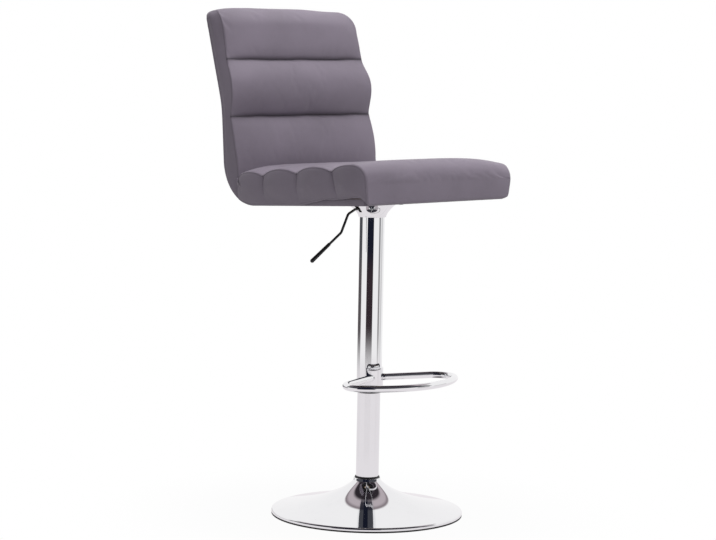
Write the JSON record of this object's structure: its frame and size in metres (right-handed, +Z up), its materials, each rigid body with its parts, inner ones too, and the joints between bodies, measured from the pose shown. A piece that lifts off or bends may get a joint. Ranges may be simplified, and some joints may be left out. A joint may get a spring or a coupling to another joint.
{
  "type": "bar stool",
  "caption": "Adjustable bar stool with a trumpet foot, a telescopic swivel column, a footrest loop, a release lever and a padded seat and back with sewn channels.",
  "frame": {"origin": "on the floor, under the column's axis", "axes": "+Z up along the column; the seat's front faces -Y; +X is the sitter's left, and the release lever points to -X"},
  "size_m": [0.412, 0.4945, 1.0131],
  "materials": {
    "chrome": "polished",
    "steel": "satin",
    "light_alloy": "satin",
    "brass": "satin",
    "black_plastic": "matte",
    "rubber": "matte",
    "black_paint": "satin",
    "plywood": "matte",
    "lining": "matte",
    "upholstery": "matte"
  },
  "bodies": {
    "base": {"base_disc": "chrome", "foot_ring": "rubber", "ballast_plate": "steel", "foot_socket": "steel", "neck_ring": "black_plastic", "column_tube": "chrome", "column_end_plate": "steel", "guide_bush": "black_plastic", "lower_race": "steel"},
    "spindle": {"piston_rod": "steel", "ball_cage": "brass", "bearing_balls": "steel", "upper_race": "steel", "rod_clip": "steel", "rod_buffer": "rubber", "piston": "light_alloy", "piston_seal": "rubber"},
    "seat": {"gas_cylinder": "black_paint", "cylinder_gland": "light_alloy", "valve_housing": "light_alloy", "upper_sleeve": "chrome", "glide_ring": "black_plastic", "sleeve_head": "steel", "sleeve_cap": "chrome", "footrest_saddle": "chrome", "footrest_loop": "chrome", "seat_plate": "black_paint", "lift_socket": "black_paint", "lever_bracket": "black_paint", "lever_pin": "steel", "plate_bolts": "black_paint", "threaded_inserts": "steel", "plywood_shell": "plywood", "dust_cover": "lining", "rear_cover": "upholstery", "seat_cushion": "upholstery", "back_cushion": "upholstery"},
    "lever": {"lever_rod": "black_paint", "lever_grip": "black_plastic"},
    "release": {"release_pin": "steel"}
  },
  "joints": [
    {"name": "swivel", "type": "hinge", "parent": "base", "child": "spindle", "pos_m": [0, 0, 0.012], "axis": [0, 0, 1], "continuous": true},
    {"name": "lift", "type": "slide", "parent": "spindle", "child": "seat", "axis": [0, 0, 1], "range_m": [-0.16, 0.055]},
    {"name": "lever_pull", "type": "hinge", "parent": "seat", "child": "lever", "pos_m": [-0.028, 0, 0.6188], "axis": [0, 1, 0], "range_deg": [0, 9], "stiffness_Nm_per_rad": 5},
    {"name": "release_press", "type": "slide", "parent": "seat", "child": "release", "axis": [0, 0, -1], "range_m": [0, 0.0047]}
  ],
  "couplings": [
    {"joint": "release_press", "follows": "lever_pull", "m_per_rad": 0.0295}
  ]
}
